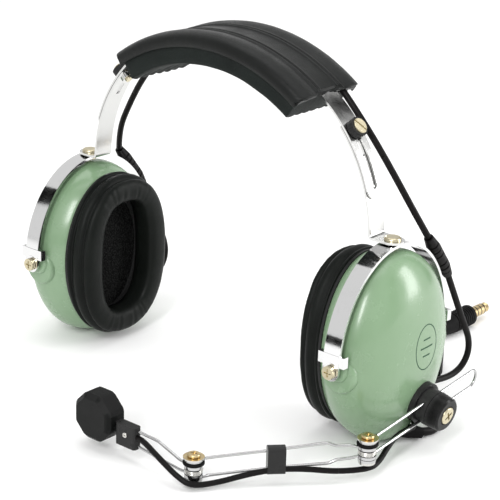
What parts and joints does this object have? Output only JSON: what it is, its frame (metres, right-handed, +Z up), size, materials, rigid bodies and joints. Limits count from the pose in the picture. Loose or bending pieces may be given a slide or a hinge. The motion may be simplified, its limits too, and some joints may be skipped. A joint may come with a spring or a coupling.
{
  "type": "aviation headset",
  "caption": "Over-ear noise-attenuating headset with domed cups on a sprung steel headband, a folding wire microphone boom and a trailing cord with a multi-pole plug",
  "frame": {"origin": "on the surface the headset stands on, under the middle of its outline seen from above, with the free cord left out", "axes": "+X towards the wearer's left ear, where the boom is; +Z up; -Y the way the wearer faces"},
  "size_m": [0.2814, 0.309, 0.2039],
  "materials": {
    "steel": "polished band steel",
    "chrome": "bright plated",
    "steel_wire": "bright drawn wire",
    "brass": "satin",
    "nickel": "satin nickel",
    "green_shell": "moulded, gloss",
    "black_plastic": "moulded, satin",
    "mic_plastic": "moulded, fine texture",
    "cover_vinyl": "grained vinyl, sewn",
    "pad_vinyl": "grained vinyl over foam",
    "seal_vinyl": "smooth soft vinyl",
    "foam": "open-cell foam",
    "earphone": "moulded",
    "cord_rubber": "smooth jacket",
    "rubber": "matte"
  },
  "bodies": {
    "headband": {"headband_spring": "steel", "headband_cover": "cover_vinyl", "head_pad": "pad_vinyl", "crossover_top": "cord_rubber"},
    "left_slider": {"left_slider": "steel", "left_swivel_rivet": "steel"},
    "left_thumb": {"left_thumb_screw": "brass", "left_thumb_ring": "black_plastic"},
    "left_stirrup": {"left_stirrup": "chrome", "left_strain_relief": "cord_rubber", "left_crossover_upper": "cord_rubber"},
    "left_cup": {"left_dome": "green_shell", "left_pivot_screws": "steel", "left_seal_plate": "black_plastic", "left_ear_seal": "seal_vinyl", "left_foam_liner": "foam", "left_earphone": "earphone", "left_crossover_lower": "cord_rubber", "boom_base": "black_plastic", "cord_gland": "rubber", "main_cord_lead": "cord_rubber", "main_cord_coil": "cord_rubber", "main_cord_tail": "cord_rubber", "plug_handle": "rubber", "plug_contacts": "brass", "plug_insulators": "black_plastic"},
    "right_slider": {"right_slider": "steel", "right_swivel_rivet": "steel"},
    "right_thumb": {"right_thumb_screw": "brass", "right_thumb_ring": "black_plastic"},
    "right_stirrup": {"right_stirrup": "chrome", "right_strain_relief": "cord_rubber", "right_crossover_upper": "cord_rubber"},
    "right_cup": {"right_dome": "green_shell", "right_pivot_screws": "steel", "right_seal_plate": "black_plastic", "right_ear_seal": "seal_vinyl", "right_foam_liner": "foam", "right_earphone": "earphone", "right_crossover_lower": "cord_rubber"},
    "boom_clamp": {"boom_clamp": "black_plastic"},
    "boom_knob": {"boom_knob": "black_plastic", "knob_screw": "brass"},
    "rear_boom": {"rear_boom_wire": "steel_wire", "first_elbow_screw": "brass", "first_elbow_rubber": "rubber", "mic_cable_rear": "cord_rubber"},
    "middle_boom": {"middle_boom_wires": "steel_wire", "first_elbow_spring": "steel", "second_elbow_screw": "brass", "second_elbow_rubber": "rubber", "cable_clip": "black_plastic", "mic_cable_middle": "cord_rubber"},
    "front_boom": {"front_boom_wires": "steel_wire", "second_elbow_spring": "steel", "mic_bracket": "black_plastic", "mic_bracket_screw": "nickel", "mic_cable_front": "cord_rubber"},
    "microphone": {"mic_housing": "mic_plastic", "mic_grille": "mic_plastic"}
  },
  "joints": [
    {"name": "left_adjust", "type": "hinge", "parent": "headband", "child": "left_slider", "pos_m": [0.00601, 0.023, 0.10869], "axis": [0, 1, 0], "range_deg": [-1.5, 18], "deforming": ["left_crossover_upper"]},
    {"name": "left_thumb_turn", "type": "hinge", "parent": "left_slider", "child": "left_thumb", "pos_m": [0.0744, 0.023, 0.16407], "axis": [0.7771, 0, 0.6293], "continuous": true},
    {"name": "left_swivel", "type": "hinge", "parent": "left_slider", "child": "left_stirrup", "pos_m": [0.1031, 0.023, 0.1105], "axis": [0, 0, 1], "range_deg": [-15, 15]},
    {"name": "left_tilt", "type": "hinge", "parent": "left_stirrup", "child": "left_cup", "pos_m": [0.1031, 0.023, 0.0525], "axis": [0, 1, 0], "range_deg": [-12, 12], "deforming": ["left_crossover_lower"]},
    {"name": "right_adjust", "type": "hinge", "parent": "headband", "child": "right_slider", "pos_m": [-0.02141, 0.023, 0.10869], "axis": [0, -1, 0], "range_deg": [-1.5, 18], "deforming": ["right_crossover_upper"]},
    {"name": "right_thumb_turn", "type": "hinge", "parent": "right_slider", "child": "right_thumb", "pos_m": [-0.0898, 0.023, 0.16407], "axis": [-0.7771, 0, 0.6293], "continuous": true},
    {"name": "right_swivel", "type": "hinge", "parent": "right_slider", "child": "right_stirrup", "pos_m": [-0.1185, 0.023, 0.1105], "axis": [0, 0, 1], "range_deg": [-15, 15]},
    {"name": "right_tilt", "type": "hinge", "parent": "right_stirrup", "child": "right_cup", "pos_m": [-0.1185, 0.023, 0.0525], "axis": [0, 1, 0], "range_deg": [-12, 12], "deforming": ["right_crossover_lower"]},
    {"name": "boom_swing", "type": "hinge", "parent": "left_cup", "child": "boom_clamp", "pos_m": [0.1214, 0.03, 0.0245], "axis": [-0.9877, 0, 0.1564], "range_deg": [-45, 45], "deforming": ["mic_cable_rear"]},
    {"name": "knob_turn", "type": "hinge", "parent": "boom_clamp", "child": "boom_knob", "pos_m": [0.1214, 0.03, 0.0245], "axis": [0.9877, 0, -0.1564], "continuous": true},
    {"name": "boom_reach", "type": "slide", "parent": "boom_clamp", "child": "rear_boom", "axis": [-0.0183, -0.9932, -0.1152], "range_m": [-0.015, 0.02]},
    {"name": "first_elbow_turn", "type": "hinge", "parent": "rear_boom", "child": "middle_boom", "pos_m": [0.12782, -0.02353, 0.018], "axis": [0, 0, 1], "range_deg": [-35, 35], "deforming": ["mic_cable_middle"]},
    {"name": "second_elbow_turn", "type": "hinge", "parent": "middle_boom", "child": "front_boom", "pos_m": [0.0683, -0.088, 0.009], "axis": [0, 0, 1], "range_deg": [-45, 45], "deforming": ["mic_cable_front"]},
    {"name": "microphone_roll", "type": "hinge", "parent": "front_boom", "child": "microphone", "pos_m": [0.0173, -0.0907, 0.015], "axis": [1, 0, 0], "range_deg": [-30, 30]}
  ]
}
